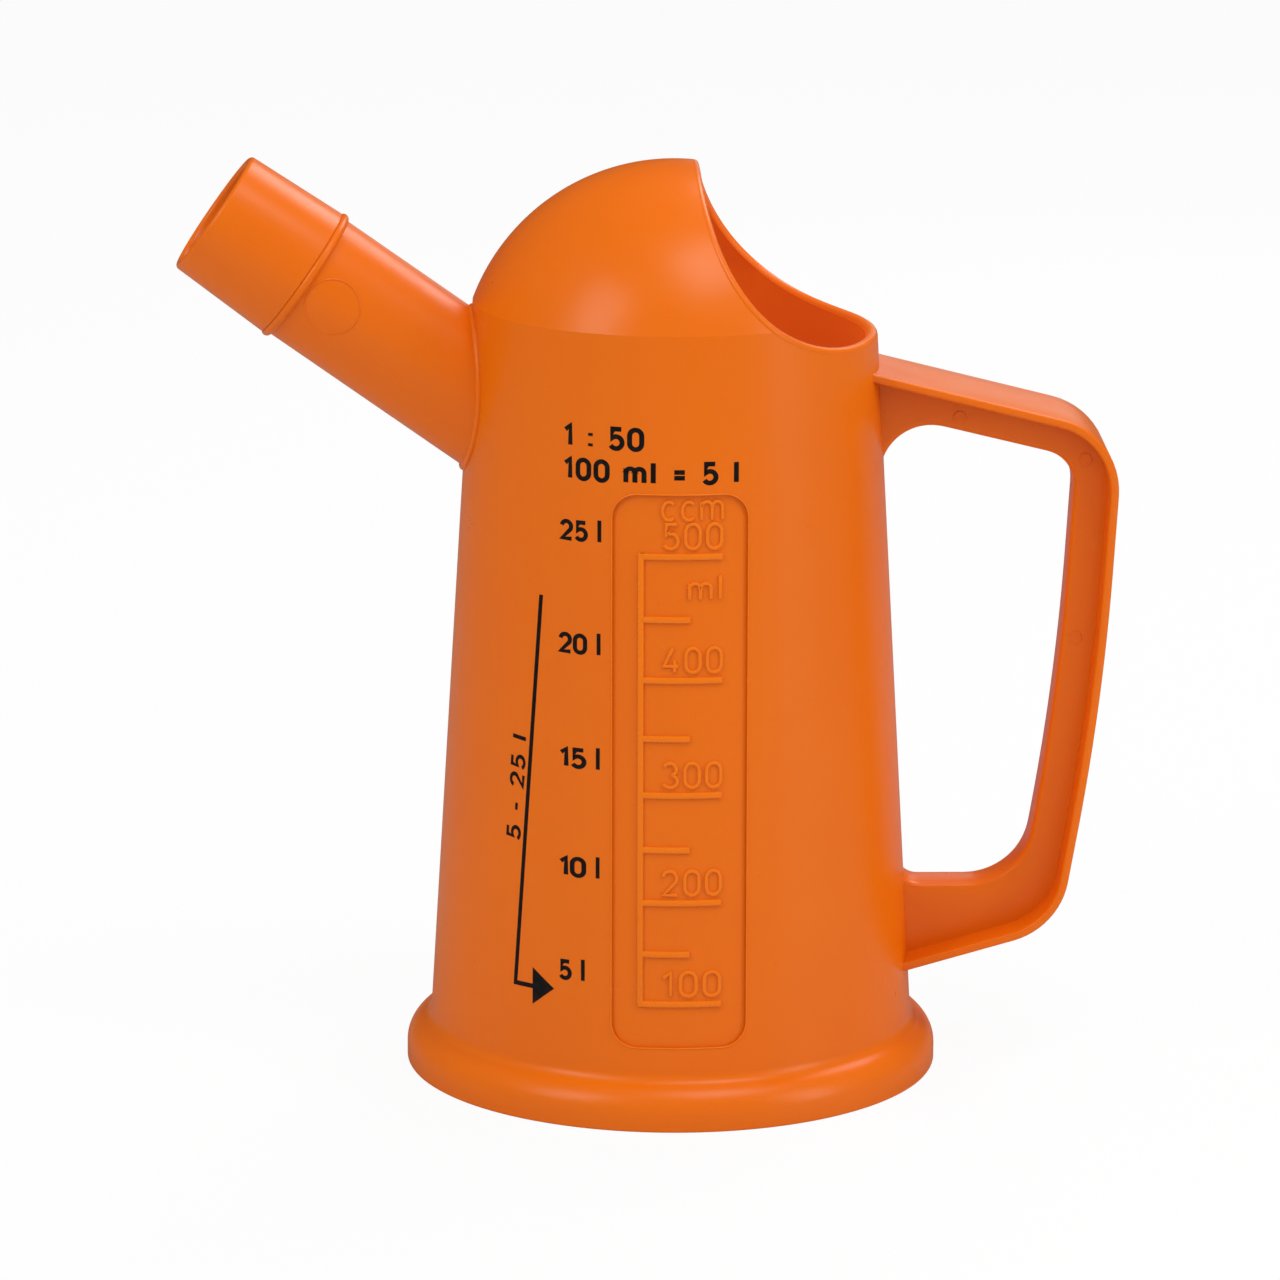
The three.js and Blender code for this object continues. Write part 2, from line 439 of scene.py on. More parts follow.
class Socket:
    """A node output in an expression, which adds a Math node for each operation."""

    def __init__(self, graph, socket):
        self.graph = graph
        self.socket = socket

    def _math(self, operation, *values):
        return self.graph.node("Math", "Value", values, operation=operation)

    def __add__(self, other):
        return self._math("ADD", self, other)

    __radd__ = __add__

    def __mul__(self, other):
        return self._math("MULTIPLY", self, other)

    __rmul__ = __mul__

    def __sub__(self, other):
        return self._math("SUBTRACT", self, other)

    def __rsub__(self, other):
        return self._math("SUBTRACT", other, self)

    def __pow__(self, power):
        return self._math("POWER", self, power)

    def __lt__(self, other):
        return self._math("LESS_THAN", self, other)

    def __gt__(self, other):
        return self._math("GREATER_THAN", self, other)


class Graph:
    """The node tree of a material or of the world, and its shader."""

    def __init__(self, owner, shader="Principled BSDF"):
        owner.use_nodes = True
        self.owner = owner
        self.tree = owner.node_tree
        self.shader = self.tree.nodes[shader]

    def node(self, kind, output=0, inputs=(), **settings):
        """Adds a node, sets its settings, feeds its inputs and gives one of its outputs."""
        made = self.tree.nodes.new("ShaderNode" + kind)
        for key, value in settings.items():
            setattr(made, key, value)
        pairs = inputs.items() if isinstance(inputs, dict) else enumerate(inputs)
        for key, value in pairs:
            self.feed(made.inputs[key], value)
        return Socket(self, made.outputs[output])

    def feed(self, target, value):
        if isinstance(value, Socket):
            self.tree.links.new(value.socket, target)
        else:
            target.default_value = value

    def set(self, **values):
        """Sets the shader's own inputs; an underscore in a name stands for a space."""
        for key, value in values.items():
            self.feed(self.shader.inputs[key.replace("_", " ")], value)

    def noise(self, place, scale, detail=3.0):
        feeds = {"Vector": place, "Scale": scale, "Detail": detail, "Roughness": 0.5}
        return self.node("TexNoise", "Fac", feeds)

    def ramp(self, value, low, high, start=0.0, end=1.0):
        """Maps a value from start..end to low..high."""
        return self.node("MapRange", "Result", [value, start, end, low, high])

    def mix(self, factor, first, second):
        """Mixes two colours."""
        feeds = {"Factor": factor, 6: first, 7: second}
        return self.node("Mix", 2, feeds, data_type="RGBA")

    def bump(self, height, strength, distance):
        feeds = {"Height": height, "Strength": strength, "Distance": distance}
        return self.node("Bump", "Normal", feeds)


def glow_inside(graph, place):
    """Painted glow: an emission inside the cup and hood that stands in for the light the thin wall
    lets through.
    """
    x, y, z = [graph.node("SeparateXYZ", axis, [place]) for axis in "XYZ"]
    over = graph.node("Math", "Value", [z - DOME_CENTRE * MM, 0.0], operation="MAXIMUM")
    across = (x * x + y * y) ** 0.5
    reach = (x * x + y * y + over * over) ** 0.5
    in_cone = across < (CONE_RADIUS - WALL / 2) * MM - z * TAPER
    in_dome = reach < (DOME_RADIUS - WALL / 2) * MM
    above = z > SHOULDER * MM
    inside = in_cone * (1 - above) + in_dome * above
    strength = inside * graph.ramp(z, 0.25, 1.0, GLOW_LOW, GLOW_HIGH)
    graph.set(Emission_Color=graph.mix(strength, BLACK, PAINTED_WALL_GLOW), Emission_Strength=1.0)


def plastic(name, light, deep, roughness):
    """Moulded plastic: faint clouds of colour, a fine grain and a slightly uneven sheen."""
    graph = Graph(bpy.data.materials.new(name))
    place = graph.node("TexCoord", "Object")
    clouds = graph.noise(place, 22.0, 4.0)
    fine = graph.noise(place, 2600.0, 2.0)
    streaks = graph.noise(place, 140.0)
    colour = graph.mix(graph.ramp(clouds, 0.0, 1.0, 0.3, 0.7), (*light, 1), (*deep, 1))
    uneven = streaks * 0.6 + fine * 0.4
    sheen = graph.ramp(uneven, roughness - 0.04, roughness + 0.05, 0.3, 0.7)
    graph.set(Base_Color=colour, Roughness=sheen, Normal=graph.bump(fine, 0.35, 0.02 * MM))
    graph.set(IOR=1.49, Specular_IOR_Level=0.27)
    # Painted glow inside the cup and hood, an emission.
    glow_inside(graph, place)
    return graph.owner


def ink(name):
    """Printed black ink, a little uneven where it lies on the plastic."""
    graph = Graph(bpy.data.materials.new(name))
    specks = graph.noise(graph.node("TexCoord", "Object"), 900.0, 4.0)
    graph.set(Base_Color=graph.mix(graph.ramp(specks, 0.0, 1.0, 0.45, 0.75), INK_BLACK, INK_WORN))
    graph.set(Roughness=graph.ramp(specks, 0.38, 0.55, 0.3, 0.7), Specular_IOR_Level=0.2)
    return graph.owner


JUG_ORANGE = plastic("orange_plastic", (0.775, 0.149, 0.001), (0.755, 0.139, 0.001), 0.31)
BASE_ORANGE = plastic("base_plastic", (0.74, 0.125, 0.002), (0.72, 0.118, 0.002), 0.4)
# Painted highlight: the raised ribs, figures and recess bead get a lighter, yellower orange that
# stands in for the light their edges catch.
PAINTED_HIGHLIGHT_ORANGE = plastic("raised_plastic_painted_highlight", (0.82, 0.178, 0.004), (0.80, 0.168, 0.004), 0.25)
PRINT_BLACK = ink("black_ink")


def place(obj, material, slot, *nodes):
    """Gives a piece its material, the body it rides on and the nodes it stands for. Its slot is
    not used.
    """
    obj.data.materials.clear()
    obj.data.materials.append(material)
    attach(obj, "root")
    if nodes:
        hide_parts(*nodes)


# Cup


def foot_profile():
    """The foot's rim: a straight side, a round top and a hollow that runs into the cone."""
    round_x = FOOT_RADIUS - FOOT_ROUND
    reach = FOOT_ROUND + FOOT_FILLET
    # The hollow's centre lies at FOOT_FILLET from the cone and at reach from the round's centre.
    offset = CONE_RADIUS + FOOT_FILLET * LEAN - round_x
    a = 1 + TAPER**2
    b = -2 * (FOOT_SIDE + TAPER * offset)
    c = offset**2 + FOOT_SIDE**2 - reach**2
    hollow_z = (-b + math.sqrt(b * b - 4 * a * c)) / (2 * a)
    hollow_x = round_x + offset - TAPER * hollow_z
    meeting = math.atan2(hollow_z - FOOT_SIDE, hollow_x - round_x)
    rim = arc(round_x, FOOT_SIDE, FOOT_ROUND, 0, meeting)
    end = math.pi + math.atan(TAPER)
    hollow = arc(hollow_x, hollow_z, FOOT_FILLET, math.pi + meeting, end, HOLLOW_STEPS)
    return rim + hollow[1:]


def dome_profile(radius):
    """The dome from the shoulder to the axis."""
    start = math.asin((SHOULDER - DOME_CENTRE) / radius)
    points = arc(0, DOME_CENTRE, radius, start, math.pi / 2, DOME_STEPS)
    return points[:-1] + [(0, DOME_CENTRE + radius)]


def cone_rows(low, high):
    """Points between the ends of a long straight stretch, so that its faces stay short."""
    (r0, z0), (r1, z1) = low, high
    shares = [i / CONE_ROWS for i in range(1, CONE_ROWS)]
    return [(r0 + (r1 - r0) * share, z0 + (z1 - z0) * share) for share in shares]


def cup_outside():
    foot = foot_profile()
    dome = dome_profile(DOME_RADIUS)
    flat = FOOT_RADIUS - SOLE_ROUND
    sole = [(0, 0)] + arc(flat, SOLE_ROUND, SOLE_ROUND, -math.pi / 2, 0, SOLE_STEPS)
    return finished("jug", spun(sole + foot + cone_rows(foot[-1], dome[0]) + dome))


def cup_inside():
    """What is hollow inside the cup, and the seat below its floor for the closing disc."""
    dome = dome_profile(DOME_RADIUS - WALL)
    floor = (cone_at(FLOOR) - WALL * LEAN, FLOOR)
    seat = FOOT_RADIUS - FOOT_WALL
    start = [(0, -1), (seat, -1), (seat, FLOOR), floor]
    return finished("inside", spun(start + cone_rows(floor, dome[0]) + dome))


def middle_radius(z):
    """Radius of the middle of the cup's skin at a height."""
    if z < SHOULDER:
        return cone_at(z) - WALL / 2
    return math.sqrt(max((DOME_RADIUS - WALL / 2) ** 2 - (z - DOME_CENTRE) ** 2, 0))


# Spout


def along_spout(bm):
    """Turns a bmesh made on Z onto the spout's axis."""
    lean = Matrix.Rotation(SPOUT_ANGLE - math.pi / 2, 4, "Y")
    turn = Matrix.Translation((0, 0, SPOUT_HEIGHT)) @ lean
    bmesh.ops.transform(bm, matrix=turn, verts=bm.verts)
    return bm


def spout_outside():
    half = BEAD_WIDTH / 2
    bead = []
    for i in range(1, BEAD_STEPS):
        angle = math.pi * i / BEAD_STEPS
        radius = SPOUT_RADIUS + BEAD_HEIGHT * math.sin(angle)
        bead.append((radius, SPOUT_BEAD - half * math.cos(angle)))
    centre = (SPOUT_TIP_RADIUS - SPOUT_LIP, SPOUT_TIP - SPOUT_LIP)
    profile = [
        (0, SPOUT_START),
        (SPOUT_RADIUS, SPOUT_START),
        (SPOUT_RADIUS, SPOUT_BEAD - half),
        *bead,
        (SPOUT_SOCKET, SPOUT_BEAD + half),
        *arc(*centre, SPOUT_LIP, 0, math.pi / 2, SPOUT_LIP_STEPS),
        (0, SPOUT_TIP),
    ]
    return finished("spout", along_spout(spun(profile, SPOUT_STEPS)))


def spout_inside():
    centre = (SPOUT_BORE + SPOUT_LIP, SPOUT_TIP - SPOUT_LIP)
    profile = [
        (0, SPOUT_START),
        (SPOUT_BORE, SPOUT_START),
        *arc(*centre, SPOUT_LIP, math.pi, math.pi / 2, SPOUT_LIP_STEPS),
        (SPOUT_BORE + SPOUT_LIP, SPOUT_TIP + 1),
        (0, SPOUT_TIP + 1),
    ]
    return finished("bore", along_spout(spun(profile, SPOUT_STEPS)))


def spout_seam():
    """The small rounded fillet where the spout leaves the cup."""
    along = Vector((-math.cos(SPOUT_ANGLE), 0, math.sin(SPOUT_ANGLE)))
    up = Vector((math.sin(SPOUT_ANGLE), 0, math.cos(SPOUT_ANGLE)))
    loop = []
    for i in range(SEAM_STEPS):
        turn = TAU * i / SEAM_STEPS
        spoke = up * math.cos(turn) + Vector((0, math.sin(turn), 0))
        start = Vector((0, 0, SPOUT_HEIGHT)) + SPOUT_RADIUS * spoke
        near, far = SPOUT_START, SPOUT_BEAD
        # Halving finds where this line of the spout passes through the cup's skin.
        for _ in range(30):
            middle = (near + far) / 2
            point = start + along * middle
            if point.xy.length < middle_radius(point.z) + WALL / 2:
                near = middle
            else:
                far = middle
        loop.append(start + along * near)
    return swept(loop, SEAM_RADIUS, 12)


# Handle


def arm_at(x):
    """Height of the arm's upper face."""
    return ARM_TOP - x * math.tan(ARM_FALL)


def foot_arm_at(x):
    """Height of the lower arm's underside."""
    return FOOT_ARM_TOP + x * math.tan(FOOT_ARM_RISE)


def handle_corners():
    """The loop's outer corners. Its left side lies inside the cup."""
    hidden = SHOULDER_RADIUS / 2
    return [
        (hidden, foot_arm_at(hidden), 0),
        (GRIP_BOTTOM_X, foot_arm_at(GRIP_BOTTOM_X), HANDLE_CORNER),
        (*GRIP_MIDDLE, GRIP_BOW),
        (GRIP_TOP_X, arm_at(GRIP_TOP_X), HANDLE_CORNER),
        (hidden, arm_at(hidden), 0),
    ]


def gap_corners():
    """The finger gap's corners, two of them in the cup's skin."""
    _, low, middle, arm_end, arm_start = inset(handle_corners(), HANDLE_DEPTH)
    slope = (middle[0] - low[0]) / (middle[1] - low[1])
    arm_side = arm_start[1] + (arm_start[0] - CONE_RADIUS) * math.tan(ARM_FALL)
    meet = arm_side / (1 - TAPER * math.tan(ARM_FALL))
    inside = WALL / 2
    return [
        (cone_at(FINGER_FLOOR) - inside, FINGER_FLOOR, FOOT_ARM_GUSSET),
        (low[0] + (FINGER_FLOOR - low[1]) * slope, FINGER_FLOOR, FINGER_FLOOR_CORNER),
        middle,
        arm_end,
        (cone_at(meet) - inside, meet, ARM_GUSSET),
    ]


def at_side(edge, width):
    """Whether an edge lies in one of a slab's two side faces."""
    return all(abs(abs(v.co.y) - width / 2) < TOUCH for v in edge.verts)


def handle_stem():
    """The stem, with rounded edges round the finger gap."""
    outline = rounded(gap_corners(), GAP_STEPS)
    solid = finished("stem", prism(rounded(handle_corners()), STEM_WIDTH))
    combine(solid, "DIFFERENCE", finished("gap", prism(outline, 2 * STEM_WIDTH)))
    bm = bmesh.new()
    bm.from_mesh(solid.data)
    bpy.data.objects.remove(solid, do_unlink=True)
    bmesh.ops.scale(bm, vec=(1 / MM, 1 / MM, 1 / MM), verts=bm.verts)
    bmesh.ops.dissolve_degenerate(bm, edges=bm.edges, dist=TOUCH)
    gap_points = [Vector(point) for point in outline]

    def on_gap(vert):
        return min((vert.co.xz - point).length for point in gap_points) < 0.01

    sides = [e for e in bm.edges if at_side(e, STEM_WIDTH)]
    round_edges(bm, [e for e in sides if all(on_gap(v) for v in e.verts)], STEM_ROUND, 4)
    return finished("stem", bm)


def handle_flange():
    """The flange: a band along the loop's outside, with rounded edges."""
    corners = handle_corners()
    outlines = [rounded(corners), rounded(inset(corners, FLANGE_THICKNESS))]
    bm = bmesh.new()
    half = FLANGE_WIDTH / 2
    outside, inside = [[bm.verts.new((x, -half, z)) for x, z in line] for line in outlines]
    count = len(outside)
    faces = []
    for i in range(count):
        j = (i + 1) % count
        faces.append(bm.faces.new((outside[i], outside[j], inside[j], inside[i])))
    grow(bm, faces, FLANGE_WIDTH)
    bmesh.ops.recalc_face_normals(bm, faces=bm.faces)
    sides = [e for e in bm.edges if at_side(e, FLANGE_WIDTH)]
    round_edges(bm, [e for e in sides if e.calc_face_angle(0) > 1], FLANGE_ROUND, 3)
    return finished("flange", bm)


def parting_line():
    """A fine ridge that the mould leaves along the middle of the handle's outer face."""
    corners = handle_corners()
    proud = rounded(inset(corners, -RIDGE_HEIGHT), RIDGE_STEPS)
    sunk = rounded(inset(corners, RIDGE_SINK), RIDGE_STEPS)
    pairs = [(p, q) for p, q in zip(proud, sunk) if q[0] > cone_at(q[1]) + RIDGE_CLEARANCE]
    bm = bmesh.new()
    verts = [[bm.verts.new((x, -RIDGE_WIDTH / 2, z)) for x, z in pair] for pair in pairs]
    faces = [bm.faces.new((a, c, d, b)) for (a, b), (c, d) in zip(verts, verts[1:])]
    grow(bm, faces, RIDGE_WIDTH)
    return bm


# Mouth


def mouth_curve(steps):
    """The mouth's edge in XZ, from the hood to its level end, in from the rim by the lip."""
    centre_x = MOUTH_EDGE + MOUTH_WIDTH
    centre_z = MOUTH_LOWEST + MOUTH_HEIGHT
    points = []
    for i in range(steps + 1):
        angle = math.pi + math.pi / 2 * i / steps
        normal = Vector((math.cos(angle) / MOUTH_WIDTH, math.sin(angle) / MOUTH_HEIGHT))
        out = normal.normalized() * LIP
        x = centre_x + MOUTH_WIDTH * math.cos(angle)
        points.append((x + out.x, centre_z + MOUTH_HEIGHT * math.sin(angle) + out.y))
    return points


def mouth_cut():
    curve = mouth_curve(MOUTH_STEPS)
    above = curve[0][1] + DOME_RISE
    level = curve[-1][1]
    points = [(FOOT_RADIUS, level), (FOOT_RADIUS, above), (curve[0][0], above), *curve]
    return finished("mouth", prism(points, 4 * SHOULDER_RADIUS))


def mouth_lip():
    """The mouth's rounded lip, swept along the skin's cut edge."""
    curve = mouth_curve(LIP_STEPS)
    level = curve[-1][1]
    curve += [(MOUTH_EDGE + MOUTH_WIDTH + LIP * i / 8, level) for i in range(1, 80)]
    skin = [(x, z) for x, z in curve if x < middle_radius(z)]
    side = [Vector((x, math.sqrt(middle_radius(z) ** 2 - x * x), z)) for x, z in skin]
    crest = DOME_CENTRE + math.sqrt((DOME_RADIUS - WALL / 2) ** 2 - skin[0][0] ** 2)
    end = Vector((middle_radius(level), 0, level))
    path = resampled([Vector((skin[0][0], 0, crest)), *side, end], LIP_RINGS)
    mirrored = [Vector((p.x, -p.y, p.z)) for p in path[-2:0:-1]]
    return swept(path + mirrored, LIP)


# Panel


def core_below(depth):
    """What the panel leaves of the cup below its skin."""
    foot = (cone_at(0) - depth, 0)
    shoulder = (SHOULDER_RADIUS - depth, SHOULDER)
    profile = [(0, 0), foot, *cone_rows(foot, shoulder), shoulder, (0, SHOULDER)]
    return finished("core", spun(profile))


def panel_outline():
    half = PANEL_WIDTH / 2
    corners = [
        (-half, PANEL_BOTTOM, PANEL_CORNER),
        (half, PANEL_BOTTOM, PANEL_CORNER),
        (half, PANEL_TOP, PANEL_CORNER),
        (-half, PANEL_TOP, PANEL_CORNER),
    ]
    return rounded(corners)


def panel_cut():
    front = finished("panel", prism(panel_outline(), 2 * FOOT_RADIUS, -FOOT_RADIUS))
    return combine(front, "DIFFERENCE", core_below(PANEL_DEPTH))


def panel_rim():
    """The fine bead that rounds the recess's edge."""
    outline = panel_outline()
    loop = []
    for (x0, z0), (x1, z1) in zip(outline, outline[1:] + outline[:1]):
        count = max(round(math.hypot(x1 - x0, z1 - z0) / RIM_STEP), 1)
        for i in range(count):
            x = x0 + (x1 - x0) * i / count
            z = z0 + (z1 - z0) * i / count
            loop.append(Vector((x, -math.sqrt(cone_at(z) ** 2 - x * x), z)))
    return swept(loop, RIM_RADIUS, 8)


# Jug, marks of the mould and closing disc


def mark_shoulder_sharp(mesh):
    """Keeps the shading apart where the cone meets the dome."""
    on_seam = []
    for vert in mesh.vertices:
        from_radius = abs(vert.co.xy.length / MM - SHOULDER_RADIUS)
        on_seam.append(abs(vert.co.z / MM - SHOULDER) < 0.01 and from_radius < 0.01)
    for edge in mesh.edges:
        edge.use_edge_sharp |= all(on_seam[v] for v in edge.vertices)


def jug():
    body = cup_outside()
    combine(body, "UNION", spout_outside())
    combine(body, "UNION", combine(handle_stem(), "UNION", handle_flange()))
    combine(body, "DIFFERENCE", cup_inside())
    combine(body, "DIFFERENCE", spout_inside())
    combine(body, "DIFFERENCE", mouth_cut())
    combine(body, "DIFFERENCE", panel_cut())
    mark_shoulder_sharp(smooth(body).data)
    return body


def mould_marks():
    """What the mould leaves: a circle on the spout's side and pin marks on the handle's stem."""
    circle = []
    for i in range(MARK_STEPS):
        angle = TAU * i / MARK_STEPS
        turn = MARK_RADIUS * math.cos(angle) / SPOUT_RADIUS
        along = MARK_PLACE + MARK_RADIUS * math.sin(angle)
        around = (SPOUT_RADIUS * math.sin(turn), -SPOUT_RADIUS * math.cos(turn))
        circle.append(Vector((*around, along)))
    parts = [along_spout(swept(circle, MARK_LINE, 8))]
    lying = Matrix.Rotation(math.pi / 2, 4, "X")
    for x, z in PIN_MARKS:
        pin = bmesh.new()
        bmesh.ops.create_cone(
            pin,
            cap_ends=True,
            segments=32,
            radius1=PIN_RADIUS,
            radius2=PIN_TOP_RADIUS,
            depth=PIN_DEPTH,
        )
        turned = Matrix.Translation((x, -STEM_WIDTH / 2 + PIN_SINK, z)) @ lying
        bmesh.ops.transform(pin, matrix=turned, verts=pin.verts)
        parts.append(pin)
    return merge(parts)


def closing_disc():
    radius = FOOT_RADIUS - FOOT_WALL - BASE_CLEARANCE
    underside = [(0, BASE_RECESS), (radius - BASE_EDGE, BASE_RECESS)]
    side = [(radius, BASE_RECESS + BASE_EDGE), (radius, FLOOR)]
    return spun([*underside, *side, (0, FLOOR)], DISC_STEPS)


# Scale: raised ribs and figures on the panel's floor, and print on the cone


def wrap(bm, lift, step=0.8):
    """Wraps a bmesh drawn in XZ, facing -Y, onto the cone, lifted from its surface."""
    low = min(v.co.x for v in bm.verts)
    high = max(v.co.x for v in bm.verts)
    slices = max(int((high - low) / step), 1)
    for i in range(1, slices):
        at = low + (high - low) * i / slices
        geometry = bm.verts[:] + bm.edges[:] + bm.faces[:]
        bmesh.ops.bisect_plane(bm, geom=geometry, plane_co=(at, 0, 0), plane_no=(1, 0, 0))
    for vert in bm.verts:
        x, y, z = vert.co
        radius = cone_at(z) + lift - y
        angle = x / cone_at(z)
        vert.co = (radius * math.sin(angle), -radius * math.cos(angle), z)
    return bm


def rib(x0, x1, z0, z1):
    """A raised bar on the panel's floor with rounded outer edges."""
    height = RIB_HEIGHT + RIB_SINK
    bm = prism([(x0, z0), (x1, z0), (x1, z1), (x0, z1)], height, -height / 2)
    front = [e for e in bm.edges if all(v.co.y < -height + 1e-6 for v in e.verts)]
    round_edges(bm, front, RIB_ROUND, 2)
    return wrap(bm, -PANEL_DEPTH - RIB_SINK)


def scale_ribs():
    half = RIB_WIDTH / 2
    volumes = [SCALE_STEP * i for i in range(2, 11)]
    low = level_of(volumes[0]) - half
    high = level_of(volumes[-1]) + half
    parts = [rib(SCALE_STEM - half, SCALE_STEM + half, low, high)]
    for volume in volumes:
        level = level_of(volume)
        end = LONG_MARK if volume % LONG_STEP == 0 else SHORT_MARK
        parts.append(rib(SCALE_STEM, end, level - half, level + half))
    return merge(parts)


def oval(x, z, across, high, start, end, steps=14):
    """Points of an elliptical arc, its angles in degrees."""
    angles = [math.radians(start + (end - start) * i / steps) for i in range(steps + 1)]
    return [(x + across * math.cos(a), z + high * math.sin(a)) for a in angles]


ZERO = [
    *oval(0.29, 0.69, 0.29, 0.31, 0, 180),
    *oval(0.29, 0.31, 0.29, 0.31, 180, 360),
    (0.58, 0.69),
]
M_STROKES = [
    [(0, 0), (0, 0.72)],
    [(0, 0.5), *oval(0.22, 0.5, 0.22, 0.22, 180, 0), (0.44, 0)],
    [(0.44, 0.5), *oval(0.66, 0.5, 0.22, 0.22, 180, 0), (0.88, 0)],
]
# Each figure is its strokes' middle lines, on a height of 1, and its width.
GLYPHS = {
    "0": ([ZERO], 0.58),
    "1": ([[(0.04, 0.76), (0.3, 0.98), (0.3, 0)]], 0.36),
    "2": ([oval(0.29, 0.7, 0.28, 0.3, 170, -35) + [(0.03, 0), (0.6, 0)]], 0.6),
    "3": ([oval(0.28, 0.75, 0.26, 0.25, 155, -80), oval(0.28, 0.255, 0.3, 0.255, 80, -155)], 0.58),
    "4": ([[(0.38, 1), (0.02, 0.26), (0.62, 0.26)], [(0.46, 0.5), (0.46, 0)]], 0.62),
    "5": ([[(0.54, 1), (0.11, 1), (0.07, 0.52)] + oval(0.28, 0.31, 0.3, 0.31, 130, -150)], 0.58),
    "c": ([oval(0.29, 0.36, 0.28, 0.36, 45, 315)], 0.52),
    "m": (M_STROKES, 0.88),
    "l": ([[(0.08, 1.05), (0.08, 0)]], 0.16),
    ":": ([[(0.08, 0.02), (0.08, 0.17)], [(0.08, 0.55), (0.08, 0.7)]], 0.16),
    "=": ([[(0, 0.28), (0.5, 0.28)], [(0, 0.58), (0.5, 0.58)]], 0.5),
    "-": ([[(0, 0.4), (0.36, 0.4)]], 0.36),
    " ": ([], 0.2),
}


def ribbon(bm, path, width):
    """Lays a flat band of an even width along a path in XZ, with mitred turns."""
    path = [Vector(point) for point in path]
    closed = (path[0] - path[-1]).length < 1e-6
    before = path[-2:-1] if closed else [None]
    after = path[1:2] if closed else [None]
    pairs = []
    for last, here, following in zip(before + path, path, path[1:] + after):
        arriving = (here - last).normalized() if last else (following - here).normalized()
        leaving = (following - here).normalized() if following else arriving
        along = (arriving + leaving).normalized()
        side = Vector((-along.y, along.x)) * (width / 2 / max(along.dot(arriving), 0.6))
        pairs.append([bm.verts.new((q.x, 0, q.y)) for q in (here + side, here - side)])
    for (a, b), (c, d) in zip(pairs, pairs[1:]):
        bm.faces.new((a, b, d, c))


def letters(text, height, depth, stroke, spacing=0.26, edge=0.0):
    """A bmesh of figures in XZ that face -Y, their lower left corner at the origin."""
    bm = bmesh.new()
    at = 0.0
    for glyph in text:
        lines, width = GLYPHS[glyph]
        for line in lines:
            ribbon(bm, [((x + at) * height, z * height) for x, z in line], stroke)
        at += width + spacing
    bmesh.ops.remove_doubles(bm, verts=bm.verts, dist=TOUCH)
    bmesh.ops.recalc_face_normals(bm, faces=bm.faces)
    for face in bm.faces:
        if face.normal.y > 0:
            face.normal_flip()
    grow(bm, bm.faces[:], -depth)
    if edge:
        front = [e for e in bm.edges if all(v.co.y < -depth + 1e-6 for v in e.verts)]
        bmesh.ops.recalc_face_normals(bm, faces=bm.faces)
        rims = [e for e in front if len(e.link_faces) == 2 and e.calc_face_angle(0) > 1]
        round_edges(bm, rims, edge, 2)
    return bm


def fit_width(bm, left, right, bottom):
    """Moves a bmesh drawn in XZ to a left and bottom edge and stretches it to a right edge."""
    width = max(v.co.x for v in bm.verts)
    for vert in bm.verts:
        vert.co.x = left + vert.co.x / width * (right - left)
        vert.co.z += bottom
    return bm


def scale_figures():
    height, stroke, left, right = VOLUME_FIGURE
    rows = []
    for hundreds in range(1, 6):
        bottom = level_of(hundreds * LONG_STEP) + FIGURE_LIFT
        rows.append((f"{hundreds}00", height, stroke, left, right, bottom))
    parts = []
    for text, height, stroke, left, right, bottom in rows + UNIT_FIGURES:
        bm = letters(text, height, FIGURE_DEPTH, stroke, FIGURE_SPACING, FIGURE_ROUND)
        parts.append(wrap(fit_width(bm, left, right, bottom), -PANEL_DEPTH - FIGURE_SINK))
    return merge(parts)


def printed(bm):
    return wrap(bm, -INK_SINK)


def litre_figures():
    """The litres beside the panel, each with its unit."""
    parts = []
    for litres, bottom, left, right in LITRES:
        number = letters(str(litres), 3.1, INK_DEPTH, 0.74)
        unit = letters("l", 3.7, INK_DEPTH, 0.75)
        parts.append(printed(fit_width(number, left, right, bottom + 0.2)))
        parts.append(printed(fit_width(unit, right + 1.9, right + 2.55, bottom + 0.1)))
    return parts


def arrow():
    """The arrow's long line, which turns at the bottom, and its head."""
    half = ARROW_HALF_WIDTH
    (x0, z0), (x1, z1), (x2, z2) = ARROW_TOP, ARROW_CORNER, ARROW_END
    left = []
    right = []
    for i in range(ARROW_STEPS + 1):
        x = x0 + (x1 - x0) * i / ARROW_STEPS
        z = z0 + (z1 - z0) * i / ARROW_STEPS
        left.append((x - half, z))
        right.append((x + half, max(z, z2 + half)))
    left[-1] = (x1 - half, z2 - half)
    shaft = left + [(x2, z2 - half), (x2, z2 + half)] + right[::-1]
    return [printed(prism(line, INK_DEPTH, -INK_DEPTH / 2)) for line in (shaft, ARROW_HEAD)]


def range_text():
    """The range of litres, which runs up beside the arrow."""
    text, height, stroke = RANGE_TEXT
    bm = fit_width(letters(text, height, INK_DEPTH, stroke, RANGE_SPACING), 0, RANGE_LENGTH, 0)
    upright = Matrix.Translation(RANGE_PLACE) @ Matrix.Rotation(RANGE_TURN, 4, "Y")
    bmesh.ops.transform(bm, matrix=upright, verts=bm.verts)
    return printed(bm)


def print_on_cone():
    parts = litre_figures() + arrow()
    for text, height, stroke, left, right, bottom in HEADING:
        bm = letters(text, height, INK_DEPTH, stroke, HEADING_SPACING)
        parts.append(printed(fit_width(bm, left, right, bottom)))
    return merge([*parts, range_text()])


